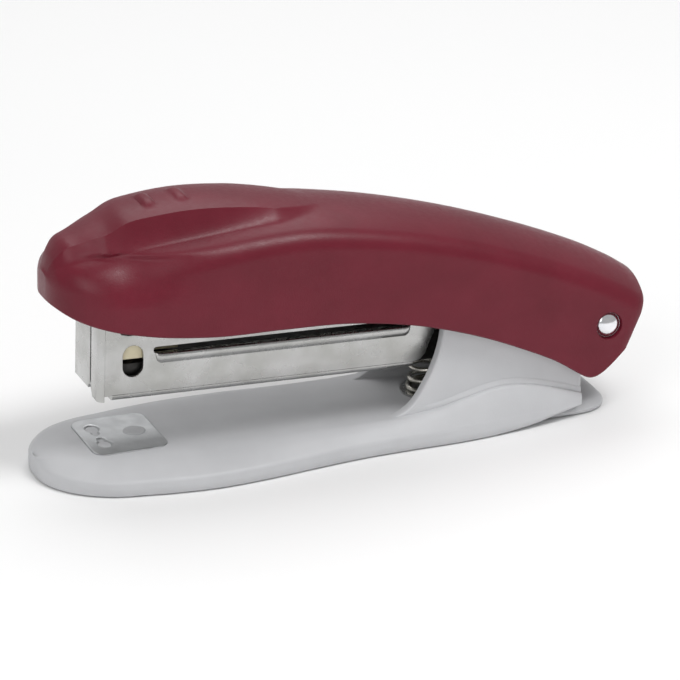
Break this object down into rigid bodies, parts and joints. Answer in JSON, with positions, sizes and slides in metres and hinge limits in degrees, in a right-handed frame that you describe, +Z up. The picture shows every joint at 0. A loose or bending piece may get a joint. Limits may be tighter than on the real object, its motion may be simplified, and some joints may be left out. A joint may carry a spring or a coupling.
{
  "type": "stapler",
  "caption": "Desk stapler: moulded base with steel anvil, sprung steel magazine with louvred sides, pressed handle cover with thumb pad, one rivet hinge.",
  "frame": {"origin": "on the surface it stands on, under the middle of its length and width", "axes": "+X towards the hinge end, nose at -X; +Y across; +Z up"},
  "size_m": [0.125, 0.038, 0.0527],
  "materials": {
    "burgundy_plastic": "satin, fine texture",
    "grey_plastic": "matte, fine texture",
    "nickel_steel": "nickel plated",
    "chrome_rivet": "bright",
    "spring_steel": "bright wire",
    "zinc_screw": "dull zinc",
    "cream_plastic": "natural",
    "grip_rubber": "matte"
  },
  "bodies": {
    "base": {"base_shell": "grey_plastic", "bottom_cover": "grey_plastic", "cover_screws": "zinc_screw", "front_pad": "grip_rubber", "rear_pad": "grip_rubber", "anvil_plate": "nickel_steel", "anvil_stake": "grey_plastic", "spring_seat": "nickel_steel", "return_spring": "spring_steel", "hinge_rivet": "chrome_rivet", "spacer_washers": "nickel_steel"},
    "magazine": {"magazine_channel": "nickel_steel", "staple_rail": "nickel_steel", "rail_rivets": "zinc_screw", "pivot_sleeve": "nickel_steel", "guide_rod": "spring_steel", "rod_bracket": "zinc_screw", "follower_spring": "spring_steel"},
    "follower": {"follower": "cream_plastic"},
    "handle": {"handle_cover": "burgundy_plastic", "driver_arm": "zinc_screw", "driver_blade": "nickel_steel", "blade_rivets": "zinc_screw", "arm_screws": "zinc_screw", "leaf_spring": "spring_steel", "leaf_rivet": "zinc_screw"}
  },
  "joints": [
    {"name": "magazine_tilt", "type": "hinge", "parent": "base", "child": "magazine", "pos_m": [0.0526, 0, 0.0195], "axis": [0, 1, 0], "range_deg": [-5.4, 0], "stiffness_Nm_per_rad": 1.2, "springref_deg": 6.88, "deforming": ["return_spring"]},
    {"name": "handle_swing", "type": "hinge", "parent": "magazine", "child": "handle", "pos_m": [0.0526, 0, 0.0195], "axis": [0, 1, 0], "range_deg": [-4.5, 70], "stiffness_Nm_per_rad": 0.5, "springref_deg": 1.72, "deforming": ["leaf_spring"]},
    {"name": "follower_slide", "type": "slide", "parent": "magazine", "child": "follower", "axis": [0.9995, 0, -0.0332], "range_m": [0, 0.055], "stiffness_N_per_m": 20, "springref_m": -0.02, "deforming": ["follower_spring"]}
  ]
}
